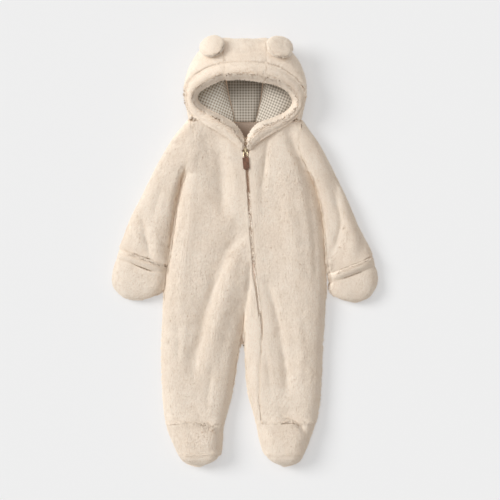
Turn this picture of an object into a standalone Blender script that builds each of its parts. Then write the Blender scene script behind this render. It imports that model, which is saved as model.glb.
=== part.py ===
"""A baby's fleece jumpsuit, laid flat on its back: hood with two round ears, zip, fold-over mittens, feet.

The tables are in millimetres, seen from above: +X to the viewer's right, +Y towards the hood, and
Z = 0 is the surface it lies on. "right" and "left" are the wearer's, so right is at -X.
Each cut piece is its outer face, built in rows, which gets its cloth thickness on the inside.
"""

import math

import bmesh
import bpy
from mathutils import Matrix, Vector

MM = 0.001

# Cloth and seams
FLEECE = 5.0  # backing and pile together
LINING = 1.5
TAPE = 1.0
SEAM_GAP = 0.3
SEAM_HEIGHT = 13.0  # where front and back pieces meet, all round the outline
BACK_ROUND = 14.0  # how far in from the outline the back leaves the surface
ZIP_HALF_GAP = 1.5  # from the zip's line to the edge of the fleece

# Body outline: y, right side x, left side x, height of the front, rounding of its edge
BODY = (
    (140, -106, 114, 38, 36),
    (107, -115, 124, 39, 38),
    (70, -121, 131, 41, 40),
    (28, -126, 136, 42, 40),
    (-14, -132, 138, 42, 40),
    (-56, -137, 140, 42, 40),
    (-100, -140, 139, 41, 38),
    (-144, -142, 136, 39, 34),
    (-173, -143, 134, 38, 32),
    (-205, -143, 133, 37, 31),
    (-236, -142, 132, 36, 30),
    (-261, -140, 130, 36, 29),
    (-284, -138, 127, 37, 28),
    (-301, -135, 122, 40, 27),
    (-320, -130, 115, 44, 26),
    (-341, -121, 108, 46, 24),
    (-354, -114, 102, 44, 22),
)
SEAM_TOP = SEAM_HEIGHT + SEAM_GAP / 2
SEAM_UNDER = SEAM_HEIGHT - SEAM_GAP / 2
FAR_LOW = (-math.inf,) * 3
FAR_HIGH = (math.inf,) * 3
# Zip: y, x
ZIP_LINE = (
    (180, 1.5),
    (140, 4.5),
    (91, 8),
    (40, 11.5),
    (-21, 16),
    (-77, 23),
    (-107, 27),
    (-133, 29),
    (-173, 27.5),
    (-212, 26),
    (-275, 26),
    (-301, 31),
)
# Inner edges of the legs: y, right leg x, left leg x
INSEAM = (
    (-135, -4, -4),
    (-159, -10, 1),
    (-173, -13, 2),
    (-205, -18, 4),
    (-236, -22, 6),
    (-261, -27, 11),
    (-284, -33, 18),
    (-301, -38, 23),
    (-320, -40, 26),
    (-341, -41, 31),
    (-354, -43, 37),
)
CROTCH_X = -4.0
FRONT_CROTCH_Y = -135.0
BACK_CROTCH_Y = -159.0
CROTCH_REACH = 85.0  # how far above the crotch the front begins to dip
CROTCH_ROUND = 42.0
BACK_ROW_COUNT = 8
CROTCH_ROWS = (0, 8, 20)  # first rows of the backs of the legs, under the crotch
ANKLE_Y = -301.0
SOLE_Y = -354.0
SOLE_DEPTH = 20.0
SOLE_MIDDLE = 22.0  # height of the sole's middle
UNDERARM_Y = 140.0

# Armhole from the neck point down to the underarm: x, y
ARMHOLE_RIGHT = ((-94, 231), (-89, 217), (-85, 203), (-88, 186), (-95, 170), (-102, 156), (-106, 140))
ARMHOLE_LEFT = ((96, 229), (95, 216), (92, 202), (92, 186), (97, 170), (105, 155), (114, 140))
ARMHOLE_ROUND = 30.0
NECK_ROUND = 17.0
ZIP_TOP_Y = 178.0
ZIP_TOP_HALF_GAP = 7.5
ZIP_END_Y = -245.0
ZIP_OPENS_Y = 152.0  # from here up the fleece stands wider of the zip's line
ROW_SLOPE = 18.0  # a row of the front ends this much lower at the zip than at its side
TORSO_ROWS = 17
LEG_ROW_COUNT = 9
# Neckline: share of the way from the shoulder to the zip, rise over the straight line
NECKLINE = ((0, 0), (0.1, 4.6), (0.4, 5.1), (0.63, 4.8), (0.84, 3.6), (1, 0))

# Sleeves from shoulder to wrist: outer x, outer y, inner x, inner y, height, share of the armhole's bow
SLEEVE_RIGHT = (
    (-95.3, 231, -107.3, 140, 38, 1),
    (-120, 207, -113.5, 119, 37, 0.45),
    (-147, 164, -119.8, 88, 36, 0),
    (-172, 115, -125.5, 51, 35, 0),
    (-195, 64, -130, 12, 34, 0),
    (-218, 1.5, -137.2, -27, 33, 0),
)
SLEEVE_LEFT = (
    (97.9, 229, 115.9, 140, 38, 1),
    (130, 191, 121.8, 119, 37, 0.45),
    (155, 142, 130.5, 91, 36, 0),
    (179, 94, 137.5, 51, 35, 0),
    (200, 44, 141.8, 4, 34, 0),
    (224, -12, 148.5, -42, 33, 0),
)
# Mittens from the hem to the finger end, in the same columns
MITTEN_RIGHT = (
    (-221.8, -10, -139.3, -40, 29, 0),
    (-226, -26, -139, -50, 30, 0),
    (-230, -42, -140, -59, 30, 0),
    (-230, -58, -146, -70, 29, 0),
    (-223, -73, -158, -79, 26, 0),
    (-211, -82, -172, -84, 21, 0),
)
MITTEN_LEFT = (
    (226.5, -24, 150.4, -53, 29, 0),
    (230, -37, 149.5, -61, 30, 0),
    (232, -50, 150, -68, 30, 0),
    (230, -66, 156, -78, 29, 0),
    (221, -80, 168, -85, 26, 0),
    (208, -86, 182, -88, 21, 0),
)
HEM_RISE = 4.0
HEM_GAP = 0.9
SLEEVE_ROUND = 30.0
MITTEN_ROUND = 24.0
MITTEN_TIP = 3.5  # how far the closed end reaches past the last row
MITTEN_TIP_HEIGHT = 11.0

# Folds of the front: start x, y, bend x, y, end x, y, half width, depth (a negative depth is a ridge)
FOLDS = (
    (-62, 196, -48, 135, -43, 78, 20, 7),
    (-12, 38, -50, -18, -73, -103, 17, 5),
    (-73, -103, -85, -145, -96, -190, 18, 3.5),
    (-18, -8, -38, -70, -58, -140, 18, -3.5),
    (-90, 175, -84, 110, -95, 30, 18, -2.5),
    (40, 196, 36, 150, 31, 112, 11, 4),
    (82, 205, 102, 150, 116, 95, 18, 5),
    (41, -60, 60, -135, 76, -245, 15, 4.5),
    (70, 60, 84, -40, 90, -150, 22, -2.5),
    (3, 192, 4, 160, 6, 112, 13, 1.5),
    (22, -60, 27, -110, 26, -190, 8, 2.5),
    (-178, 64, -172, 30, -163, -10, 10, 5),
    (-158, 48, -152, 20, -149, -8, 12, -2.5),
    (-205, 12, -198, 6, -190, 2, 8, 3),
    (150, 126, 163, 66, 163, -12, 14, 6),
    (172, 88, 184, 36, 190, -8, 13, -3),
    (-50, -292, -62, -298, -74, -300, 9, 5),
    (74, -284, 88, -292, 98, -300, 10, 5),
)

# Hood from the zip upwards: opening x, y, band's outer edge x, y, height there, widest line x, y,
# and y where the side piece meets the centre piece underneath
HOOD_RIGHT = (
    (-1.8, 191, -5.5, 179, 41, -5.5, 179, 0),
    (-9, 209, -21, 191, 42, -21, 191, 0),
    (-24, 225, -39, 203.5, 42, -39, 203.5, 0),
    (-48, 238, -60, 216.5, 41, -60, 216.5, 0),
    (-70, 249, -86, 231.5, 39, -94.5, 233, 231.2),
    (-81, 258, -97.5, 248, 42, -100.5, 250, 244),
    (-85, 267, -101.5, 267, 47, -104.5, 268, 260),
    (-81, 277, -99, 289, 53, -104.5, 290, 283),
    (-68, 286, -86, 305, 58, -99, 316, 302),
    (-53, 293, -65, 318, 61, -83, 345, 322),
    (-44, 297, -51, 322, 62, -64, 363, 338),
    (-36.6, 300, -37.2, 325, 62, -37.2, 370, 349.9),
)
HOOD_LEFT = (
    (5.2, 191, 9.5, 179, 41, 9.5, 179, 0),
    (11, 208, 22, 189.5, 42, 22, 189.5, 0),
    (25, 222, 40, 201, 42, 40, 201, 0),
    (47, 229, 60, 213, 41, 60, 213, 0),
    (69, 238, 86, 229.5, 39, 96, 231, 230.4),
    (81, 248, 99, 247, 42, 103, 252, 244),
    (87, 260, 103.5, 268, 47, 108, 275, 260),
    (82, 272, 98, 289, 53, 107, 298, 283),
    (70, 284, 82, 304, 58, 100, 322, 302),
    (53, 291, 61, 318, 61, 84, 347, 322),
    (43, 293, 50, 321, 62, 64, 363, 338),
    (36.6, 295, 37.2, 325, 62, 37.2, 370, 349.9),
)
NECK_ROW = 4  # the row of both tables where the side pieces start
HOOD_MIDDLE_HEIGHT = 24.0  # of the widest line, over the surface
HOOD_TURN = 20.0  # how far in from it the hood touches the surface
HOOD_MIDDLE_Y = 290.0
BAND_GAP = 2.2  # between the band and the pieces behind it
CENTRE_X = 36.9  # half the width of the hood's centre piece
CENTRE_FREE = 0.0043  # share of that piece's width left free at each of its seams
CENTRE_BOW = 2.0  # how far its middle reaches past its corners
SIDE_SEAM_X = 37.2  # where the side pieces of the hood end, beside its centre piece
NECK_SEAM_Y = 230.8
FACING_WIDTH = 140.0
FACING_TOP_Y = 225.0
FACING_DEPTH = 62.0
FACING_TAPER = 0.35  # share of its width lost from its top to its foot

# Across the band, from its outer edge to the opening: share of its width, rise
BAND_SECTION = ((0.06, 0.5), (0.18, 4), (0.4, 7), (0.68, 5.5), (0.9, 0), (1, -9))
BAND_DROP = 9.0
LINING_DROP = 5.4  # from the band's inner edge down to the lining's
LINING_FLOOR = 7.5
LINING_BULGE = 15.0
LINING_RISE = 9.0  # of the side linings, beside the back of the head
# Side lining from the opening down: share of the way out to the band's edge, share of the way down
# from there to the lining's floor, rise
LINING_PATH = ((0.4, 0.5, 4), (0.45, 0.5, -5))
LINING_LIP = 0.12  # share of the way out where it starts, under the band
LINING_FOOT = 0.15  # and where it turns in along the back of the head
# Centre lining over the top of the head: y, rise over the lining's floor
LINING_TOP = ((354, 8), (352, 24), (330, 38))
LINING_TOP_END_Y = 306.0
# Fold line between the side and centre linings, neck to top: right x, left x, y
LINING_FOLD = ((-17, 20, 226), (-20, 24, 245), (-26, 29, 265), (-33, 33, 300), (-35, 35, 344))

# Ears: centre x, y, z, radius across, radius along, turn about Z in degrees
EARS = {"ear_right": (-56, 355.5, 61.4, 23.5, 21, 22), "ear_left": (61, 354, 60.5, 25, 22, -22)}
EAR_HALF_THICKNESS = 9.0
EAR_TILT = math.radians(24)

# Zip slider, pull and leather tab
SLIDER_WIDTH = 6.5
SLIDER_LENGTH = 9.5
SLIDER_PLATE = 1.2
SLIDER_GAP = 1.4  # between its plates and the tapes
SLIDER_Y = 176.0
BRIDGE_HEIGHT = 6.6
BRIDGE_HALF_WIDTH = 1.1
POST_HALF_WIDTH = 1.0  # of the post between the slider's two plates
PIVOT_DROP = 1.9  # from the bridge's top down to the bail's wire
PIVOT_BACK = 2.2  # from the slider's middle towards the feet
OVERLAP = 0.6  # how far the slider's blocks reach into one another
EYE_PLAY = 0.45
WIRE_RADIUS = 0.75
BAIL_WIDTH = 6.4
BAIL_LENGTH = 9.5
BAIL_CORNER = 1.6
WIRE_SIDES = 8
PULL_SLOPE = math.radians(14)
BEVEL = 0.4
TAPE_GAP = 0.5  # from the zip's line to the edge of its tape
TAPE_TOP_GAP = 1.8
TAPE_DROP = 1.5  # the tape lies this far under the fleece's inner face
TAPE_ACROSS = (2.0, 8.0)  # rows of the tape, from the edge of the fleece inwards
TAPE_OPENS_Y = 150.0  # above this its inner edge leaves room for the slider
TAB_WIDTH = 11.0
TAB_LENGTH = 25.0
TAB_THICKNESS = 2.6
TAB_EYE = 1.25
TAB_EYE_WALL = 0.9
TAB_CORNER = 2.0
TAB_NECK = 1.9  # half the width of the tab's loop, between the wire's sides
SHOULDER_Y = -1.6  # the tab is cut back to here beside its loop
SHOULDER_BOX = 4.0
TAB_TURN = math.radians(5)
TAB_LIFT = math.radians(-1)

# Colours as sRGB, then roughness and metallic
FINISHES = {
    "cream_fleece": ((226, 211, 194), 0.95, 0.0),
    "check_lining": ((176, 167, 154), 0.85, 0.0),
    "taupe_facing": ((147, 131, 117), 0.85, 0.0),
    "zip_tape": ((168, 140, 120), 0.7, 0.0),
    "brass": ((186, 156, 104), 0.3, 1.0),
    "brown_leather": ((127, 95, 75), 0.6, 0.0),
}


def clear_scene():
    for obj in list(bpy.data.objects):
        bpy.data.objects.remove(obj, do_unlink=True)


def linear(channel):
    value = channel / 255
    return value / 12.92 if value <= 0.04045 else ((value + 0.055) / 1.055) ** 2.4


def material_for(node, finish):
    colour, roughness, metallic = FINISHES[finish]
    material = bpy.data.materials.new(f"{node}_{finish}")
    material.use_nodes = True
    shader = material.node_tree.nodes["Principled BSDF"]
    shader.inputs["Base Color"].default_value = (*map(linear, colour), 1)
    shader.inputs["Roughness"].default_value = roughness
    shader.inputs["Metallic"].default_value = metallic
    return material


# Curves and tables


def rounding(distance, radius):
    """Height of a rounded edge, 0 at the edge and 1 from radius inwards, as a quarter ellipse."""
    inside = min(max(distance / radius, 0), 1)
    return math.sqrt(1 - (1 - inside) ** 2)


def smooth(points, t):
    """A smooth curve through the rows of a table, at t from 0 to 1."""
    span = t * (len(points) - 1)
    i = min(int(span), len(points) - 2)
    u = span - i
    rows = (points[max(i - 1, 0)], points[i], points[i + 1], points[min(i + 2, len(points) - 1)])
    return tuple(
        (2 * b + (c - a) * u + (2 * a - 5 * b + 4 * c - d) * u**2 + (3 * b - a - 3 * c + d) * u**3) / 2
        for a, b, c, d in zip(*rows)
    )


def at_y(table, y):
    """The other columns of a table whose first column is a falling y."""
    last = len(table) - 1
    i = next((i for i in range(last) if table[i + 1][0] <= y), last - 1)
    u = (table[i][0] - y) / (table[i][0] - table[i + 1][0])
    return smooth(table, (i + min(max(u, 0), 1)) / last)[1:]


def rise_at(table, share):
    """The second column of a table at a value of its first, which goes up, along straight lines."""
    for (low, first), (high, second) in zip(table, table[1:]):
        if share <= high:
            return first + (second - first) * (share - low) / (high - low)
    return table[-1][1]


def steps(start, end, count):
    return [start + (end - start) * i / count for i in range(count + 1)]


def crowded(count, both_ends=True, share=0.65):
    """Fractions from 0 to 1, closer together at the edge or edges, where the cloth turns down."""
    found = []
    for i in range(count + 1):
        t = i / count
        turn = (1 - math.cos(math.pi * t)) / 2 if both_ends else 1 - math.cos(math.pi * t / 2)
        found.append((1 - share) * t + share * turn)
    return found


ARM_STEPS = crowded(8)
LEG_STEPS = crowded(10)
LEFT_STEPS = crowded(9, both_ends=False)
STRIP_STEPS = crowded(4, both_ends=False)
BACK_STEPS = crowded(6)


def between(a, b, t):
    return tuple(p + (q - p) * t for p, q in zip(a, b))


def distance_to_line(x, y, ax, ay, bx, by):
    t = ((x - ax) * (bx - ax) + (y - ay) * (by - ay)) / ((bx - ax) ** 2 + (by - ay) ** 2)
    t = min(max(t, 0), 1)
    return math.hypot(x - ax - (bx - ax) * t, y - ay - (by - ay) * t)


def fold_depth(x, y):
    depth = 0
    for ax, ay, bx, by, cx, cy, half_width, deep in FOLDS:
        near = min(distance_to_line(x, y, ax, ay, bx, by), distance_to_line(x, y, bx, by, cx, cy))
        if near < half_width:
            depth += deep * math.cos(math.pi * near / half_width / 2) ** 2
    return depth


# Making solids


def object_of(name, mesh_data, finish):
    mesh = bpy.data.meshes.new(name)
    mesh_data.to_mesh(mesh)
    mesh_data.free()
    mesh.shade_smooth()
    obj = bpy.data.objects.new(name, mesh)
    bpy.context.scene.collection.objects.link(obj)
    mesh.materials.append(material_for(name, finish))
    return obj


def cloth(name, grids, thickness, finish, low=FAR_LOW, high=FAR_HIGH):
    """A wall of cloth from its outer faces. A grid is (rows of points, face it the other way).

    The inner face stays between the low and high limits, so that it doesn't cross a seam.
    """
    shape = bmesh.new()
    for rows, turned in grids:
        points = [[shape.verts.new(Vector(p) * MM) for p in row] for row in rows]
        for upper, lower in zip(points, points[1:]):
            for i in range(len(upper) - 1):
                corners = [upper[i], lower[i], lower[i + 1], upper[i + 1]]
                shape.faces.new(corners[::-1] if turned else corners)
    bmesh.ops.remove_doubles(shape, verts=shape.verts, dist=1e-6)
    bmesh.ops.dissolve_degenerate(shape, edges=shape.edges, dist=1e-6)
    shape.normal_update()
    outer_faces = list(shape.faces)
    edges = [(e.verts[0], e.verts[1], e.link_faces[0]) for e in shape.edges if e.is_boundary]
    inner = {}
    for vert in list(shape.verts):
        point = vert.co - vert.normal * thickness * MM
        kept = [min(max(p, a * MM), b * MM) for p, a, b in zip(point, low, high)]
        inner[vert] = shape.verts.new(kept)
    for face in outer_faces:
        shape.faces.new([inner[v] for v in reversed(face.verts)])
    for a, b, face in edges:
        order = list(face.verts)
        if order[(order.index(a) + 1) % len(order)] != b:
            a, b = b, a
        shape.faces.new((b, a, inner[a], inner[b]))
    return object_of(name, shape, finish)


# Heights of the body


def front_z(x, y, edge_distance, lift=0.0, edge_round=None):
    """The front's outer height: rounded down to its edge, parted at the crotch and folded."""
    _, _, height, body_round = at_y(BODY, y)
    if edge_round:
        body_round = edge_round
    crown = lift + (1 - lift) * rounding(edge_distance, body_round)
    if y >= FRONT_CROTCH_Y:
        near = 1 - min((y - FRONT_CROTCH_Y) / CROTCH_REACH, 1)
        parted = near * near * (3 - 2 * near)
        crown *= 1 - parted * (1 - rounding(abs(x - CROTCH_X), CROTCH_ROUND))
    else:
        right_leg, left_leg = at_y(INSEAM, y)
        inside = right_leg - x if x < (right_leg + left_leg) / 2 else x - left_leg
        crown *= rounding(inside, body_round)
    rise = (height - SEAM_HEIGHT) * crown - fold_depth(x, y) * crown
    return SEAM_TOP + rise


def back_z(x, y, edge_distance, lift=0.0):
    """The back's outer height: on the surface, rounded up to the seam at its edge."""
    down = lift + (1 - lift) * rounding(edge_distance, BACK_ROUND)
    if y < BACK_CROTCH_Y - 0.1:
        right_leg, left_leg = at_y(INSEAM, y)
        inside = right_leg - x if x < (right_leg + left_leg) / 2 else x - left_leg
        down *= rounding(inside, BACK_ROUND)
    return SEAM_UNDER * (1 - down)


def arm_lift(u, length, radius):
    """How high the armhole stands between the shoulder and the underarm, 0 to 1."""
    return rounding(u * length, radius) * rounding((1 - u) * length, radius)


def armhole_length(armhole):
    return math.dist(armhole[0], armhole[-1])


# Body rows: (right side point, zip point, left side point, right lift, left lift, step)


def body_rows():
    """The rows from the neckline to the underarm, then down to the front's crotch."""
    rows = []
    for u in ARM_STEPS:
        right = smooth(ARMHOLE_RIGHT, u)
        left = smooth(ARMHOLE_LEFT, u)
        y = ZIP_TOP_Y + (UNDERARM_Y - ROW_SLOPE - ZIP_TOP_Y) * u
        rows.append((right, (at_y(ZIP_LINE, y)[0], y), left, u))
    below = steps(UNDERARM_Y, FRONT_CROTCH_Y, TORSO_ROWS)[1:]
    for i, y in enumerate(below):
        zip_y = y - ROW_SLOPE * (1 - (i + 1) / len(below))
        right, left = at_y(BODY, y)[:2]
        rows.append(((right, y), (at_y(ZIP_LINE, zip_y)[0], zip_y), (left, y), None))
    return rows


FRONT_LOW = (-math.inf, ANKLE_Y, SEAM_TOP)
LEG_ROWS = [FRONT_CROTCH_Y, *steps(BACK_CROTCH_Y, ANKLE_Y, LEG_ROW_COUNT)]


def lifts(u, radius):
    if u is None:
        return 0.0, 0.0
    right = arm_lift(u, armhole_length(ARMHOLE_RIGHT), radius)
    return right, arm_lift(u, armhole_length(ARMHOLE_LEFT), radius)


def edge_round_at(u, y):
    """Tight at the neckline, and the body's own rounding from the underarm down."""
    if u is None:
        return at_y(BODY, y)[3]
    return NECK_ROUND + (BODY[0][4] - NECK_ROUND) * u


def zip_gap(y):
    """From the zip's line to the fleece beside it, wider where the neckline opens."""
    opening = min(max((y - ZIP_OPENS_Y) / (ZIP_TOP_Y - ZIP_OPENS_Y), 0), 1)
    return ZIP_HALF_GAP + (ZIP_TOP_HALF_GAP - ZIP_HALF_GAP) * opening**2


def front_row(side, end, lift, edge_round, fractions, rise=0.0):
    """A row of the front. rise is the share of the neckline's curve that it has."""
    row = []
    for t in fractions:
        x, y = between(side, end, t)
        z = front_z(x, y, math.dist(side, (x, y)), lift, edge_round)
        row.append((x, y + rise * rise_at(NECKLINE, t), z))
    return row


def neckline_share(u):
    """How much of the neckline's curve a row has, all of it at the top and none at the underarm."""
    return 0.0 if u is None else (1 - u) ** 3


def front_right_rows():
    """The right front and leg, with the strip that runs down the left leg to the zip."""
    crotch_row = body_rows()[-1]
    right_edge = crotch_row[0][0]
    zip_edge = crotch_row[1][0] - ZIP_HALF_GAP
    guide = (CROTCH_X - right_edge) / (zip_edge - right_edge)
    leg_part = [t * guide for t in LEG_STEPS]
    strip_part = [guide + (1 - guide) * t for t in STRIP_STEPS]
    body = []
    for side, on_zip, _, u in body_rows():
        end = (on_zip[0] - zip_gap(on_zip[1]), on_zip[1])
        lift = lifts(u, ARMHOLE_ROUND)[0]
        edge_round = edge_round_at(u, side[1])
        fractions = leg_part + strip_part[1:]
        body.append(front_row(side, end, lift, edge_round, fractions, neckline_share(u)))
    legs, strips = [], []
    for y in LEG_ROWS:
        side = (at_y(BODY, y)[0], y)
        right_leg, left_leg = at_y(INSEAM, y)
        on_zip = (at_y(ZIP_LINE, y)[0] - ZIP_HALF_GAP, y)
        legs.append(front_row(side, (right_leg, y), 0, None, LEG_STEPS))
        strip = []
        for t in STRIP_STEPS:
            x = left_leg + (on_zip[0] - left_leg) * t
            strip.append((x, y, front_z(x, y, at_y(BODY, y)[1] - x)))
        strips.append(strip)
    legs[0] = body[-1][: len(LEG_STEPS)]
    strips[0] = body[-1][len(LEG_STEPS) - 1 :]
    return body, legs, strips


def build_front_right():
    grids = [(rows, False) for rows in front_right_rows()]
    cloth("front_right", grids, FLEECE, "cream_fleece", low=FRONT_LOW)


def front_left_rows():
    """The left front and leg, from the zip to the side seam."""
    rows = []
    for _, on_zip, side, u in body_rows():
        start = (on_zip[0] + zip_gap(on_zip[1]), on_zip[1])
        lift = lifts(u, ARMHOLE_ROUND)[1]
        edge_round = edge_round_at(u, side[1])
        row = front_row(side, start, lift, edge_round, LEFT_STEPS, neckline_share(u))
        rows.append(row[::-1])
    for y in LEG_ROWS[1:]:
        side = (at_y(BODY, y)[1], y)
        start = (at_y(ZIP_LINE, y)[0] + ZIP_HALF_GAP, y)
        rows.append(front_row(side, start, 0, None, LEFT_STEPS)[::-1])
    return rows


def build_front_left():
    cloth("front_left", ((front_left_rows(), False),), FLEECE, "cream_fleece", low=FRONT_LOW)


def build_back():
    """The back and the backs of both legs, flat where it lies, in one piece."""
    body = []
    levels = steps(UNDERARM_Y, BACK_CROTCH_Y, BACK_ROW_COUNT)[1:]
    ends = [(smooth(ARMHOLE_RIGHT, u), smooth(ARMHOLE_LEFT, u), u) for u in ARM_STEPS]
    ends += [((at_y(BODY, y)[0], y), (at_y(BODY, y)[1], y), None) for y in levels]
    for right, left, u in ends:
        right_lift, left_lift = lifts(u, BACK_ROUND)
        middle = (CROTCH_X, (right[1] + left[1]) / 2)
        row = []
        for side, lift, fractions in ((right, right_lift, BACK_STEPS), (left, left_lift, BACK_STEPS)):
            half = []
            for t in fractions:
                x, y = between(side, middle, t)
                half.append((x, y, back_z(x, y, math.dist(side, (x, y)), lift)))
            row.append(half)
        body.append(row[0] + row[1][::-1][1:])
    halves = ([], [])
    near_crotch = [BACK_CROTCH_Y - below for below in CROTCH_ROWS]
    for y in [*near_crotch, *steps(near_crotch[-1], SOLE_Y, BACK_ROW_COUNT)[1:]]:
        right, left = at_y(BODY, y)[:2]
        for half, side, inner in zip(halves, (right, left), at_y(INSEAM, y)):
            row = []
            for t in BACK_STEPS:
                x = side + (inner - side) * t
                row.append((x, y, back_z(x, y, abs(x - side))))
            half.append(row)
    halves[0][0] = body[-1][: len(BACK_STEPS)]
    halves[1][0] = body[-1][len(BACK_STEPS) - 1 :][::-1]
    grids = ((body, True), (halves[0], True), (halves[1], False))
    low = (-math.inf, SOLE_Y, -math.inf)
    high = (math.inf, math.inf, SEAM_UNDER)
    cloth("back", grids, FLEECE, "cream_fleece", low, high)


def build_foot_upper(name, side_column, inner_column):
    rows = []
    for y in steps(ANKLE_Y - SEAM_GAP, SOLE_Y, 4):
        side = at_y(BODY, y)[side_column]
        inner = at_y(INSEAM, y)[inner_column]
        row = []
        for t in LEG_STEPS:
            x = side + (inner - side) * t
            row.append((x, y, front_z(x, y, abs(x - side))))
        rows.append(row)
    limits = ((-math.inf, SOLE_Y, SEAM_TOP), (math.inf, ANKLE_Y - SEAM_GAP, math.inf))
    cloth(name, ((rows, side_column == 1),), FLEECE, "cream_fleece", *limits)


def build_sole(name, side_column, inner_column):
    """The sole closes the foot as a shallow dome over the loop of its seam."""
    start = SOLE_Y - SEAM_GAP
    side = at_y(BODY, SOLE_Y)[side_column]
    inner = at_y(INSEAM, SOLE_Y)[inner_column]
    centre = (side + inner) / 2
    loop = []
    for t in LEG_STEPS:
        x = side + (inner - side) * t
        loop.append((x, front_z(x, SOLE_Y, abs(x - side))))
    for t in BACK_STEPS[::-1][1:]:
        x = side + (inner - side) * t
        loop.append((x, back_z(x, SOLE_Y, abs(x - side))))
    rows = []
    for angle in steps(0, 75, 3) + [90]:
        inwards = 1 - math.cos(math.radians(angle))
        y = start - SOLE_DEPTH * math.sin(math.radians(angle))
        row = []
        for x, z in loop:
            row.append((x + (centre - x) * inwards, y, z + (SOLE_MIDDLE - z) * inwards))
        rows.append(row)
    cloth(name, ((rows, side_column == 1),), FLEECE, "cream_fleece", high=(math.inf, start, math.inf))


# Sleeves, hems and mittens: rings between an outer and an inner edge


def ring(section, radius, armhole, rise=0.0):
    outer_x, outer_y, inner_x, inner_y, height, bow = section
    outer, inner = (outer_x, outer_y), (inner_x, inner_y)
    width = math.dist(outer, inner)
    points = []
    for top, fractions in ((True, ARM_STEPS), (False, ARM_STEPS[::-1][1:])):
        for t in fractions:
            x, y = between(outer, inner, t)
            if bow:
                on_chord = between(armhole[0], armhole[-1], t)
                on_armhole = smooth(armhole, t)
                x += bow * (on_armhole[0] - on_chord[0])
                y += bow * (on_armhole[1] - on_chord[1])
            if top:
                crown = arm_lift(t, width, radius)
                z = SEAM_HEIGHT + (height + rise - SEAM_HEIGHT - fold_depth(x, y)) * crown
            else:
                z = SEAM_HEIGHT * (1 - arm_lift(t, width, BACK_ROUND))
            points.append((x, y, z))
    return points


def build_sleeve(name, table, armhole, turned):
    rows = [ring(smooth(table, t), ARMHOLE_ROUND, armhole) for t in steps(0, 1, 9)]
    cloth(name, ((rows, turned),), FLEECE, "cream_fleece")


def moved_down(section, distance):
    outer_x, outer_y, inner_x, inner_y, *rest = section
    return (outer_x, outer_y - distance, inner_x, inner_y - distance, *rest)


def build_mitten(side, sleeve, table, turned):
    """The fold-over mitten: its rolled hem round the wrist, then the closed hand."""
    wrist = sleeve[-1]
    first = table[0]
    hem_rows = []
    for t in steps(0, 1, 4):
        section = between(wrist, first, t)
        nudge = HEM_GAP * (1 - t)
        rise = HEM_RISE * math.sin(math.pi * t) + 1
        hem_rows.append(ring(moved_down(section, nudge), SLEEVE_ROUND, None, rise))
    cloth(f"mitten_hem_{side}", ((hem_rows, turned),), FLEECE, "cream_fleece")
    rows = []
    for t in steps(0, 1, 6):
        section = smooth(table, t)
        if t == 0:
            section = moved_down(section, SEAM_GAP)
        rows.append(ring(section, MITTEN_ROUND, None))
    outer_x, outer_y, inner_x, inner_y = table[-1][:4]
    end = ((outer_x + inner_x) / 2, (outer_y + inner_y) / 2 - MITTEN_TIP, MITTEN_TIP_HEIGHT)
    rows.append([end] * len(rows[0]))
    cloth(f"mitten_{side}", ((rows, turned),), FLEECE, "cream_fleece")


# Hood


def hood_rows(table, first, count):
    last = len(table) - 1
    return [smooth(table, t) for t in steps(first / last, 1, count)]


def band_limits(side):
    """The lower ends of the side bands stay apart at the zip."""
    if side < 0:
        return FAR_LOW, (HOOD_RIGHT[0][0], math.inf, math.inf)
    return (HOOD_LEFT[0][0], -math.inf, -math.inf), FAR_HIGH


def band_point(row, across, rise, drop=0.0):
    opening, edge, height = row[:2], row[2:4], row[4]
    x, y = between(edge, opening, across)
    return (x, y, height + rise - drop)


def beside_centre(side, seam_x):
    """Limits that keep a side piece's inner face on its own side of the centre seam."""
    if side < 0:
        return FAR_LOW, (-seam_x, math.inf, math.inf)
    return (seam_x, -math.inf, -math.inf), FAR_HIGH


def build_band(name, table, side, turned):
    """The rolled edge of the hood beside the opening."""
    rows = []
    for row in hood_rows(table, 0, 16):
        rows.append([band_point(row, across, rise) for across, rise in BAND_SECTION])
    cloth(name, ((rows, turned),), FLEECE, "cream_fleece", *band_limits(side))


def build_centre_band():
    rows = []
    for t in steps(CENTRE_FREE, 1 - CENTRE_FREE, 4):
        row = between(HOOD_RIGHT[-1], HOOD_LEFT[-1], t)
        bow = CENTRE_BOW * math.sin(math.pi * t)
        row = (row[0], row[1] + bow, row[2], row[3] + bow, *row[4:])
        rows.append([band_point(row, across, rise) for across, rise in BAND_SECTION])
    limits = ((-CENTRE_X + 1, -math.inf, -math.inf), (CENTRE_X - 1, math.inf, math.inf))
    cloth("hood_band_centre", ((rows, True),), FLEECE, "cream_fleece", *limits)


def over_the_edge(row, seam_x):
    """From the band over the hood's widest line, under it and along the surface to a seam."""
    edge, widest, height, seam_y = row[2:4], row[5:7], row[4], row[7]
    beside = max(abs(widest[0]) - SIDE_SEAM_X, 0)
    towards = (-math.copysign(beside, widest[0]), min(HOOD_MIDDLE_Y - widest[1], 0))
    length = math.hypot(*towards)
    inward = (towards[0] / length, towards[1] / length)
    start = between(edge, widest, BAND_GAP / math.dist(edge, widest))
    points = []
    for angle in steps(0, 90, 5):
        turn = math.radians(angle)
        x, y = between(start, widest, math.sin(turn))
        points.append((x, y, HOOD_MIDDLE_HEIGHT + (height - HOOD_MIDDLE_HEIGHT) * math.cos(turn)))
    for angle in steps(0, 90, 3)[1:]:
        turn = math.radians(angle)
        reach = HOOD_TURN * (1 - math.cos(turn))
        z = HOOD_MIDDLE_HEIGHT * (1 - math.sin(turn))
        points.append((widest[0] + inward[0] * reach, widest[1] + inward[1] * reach, z))
    landing = points[-1]
    for t in steps(0, 1, 3)[1:]:
        x, y = between(landing[:2], (seam_x, seam_y), t)
        points.append((x, y, 0.0))
    return points


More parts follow.
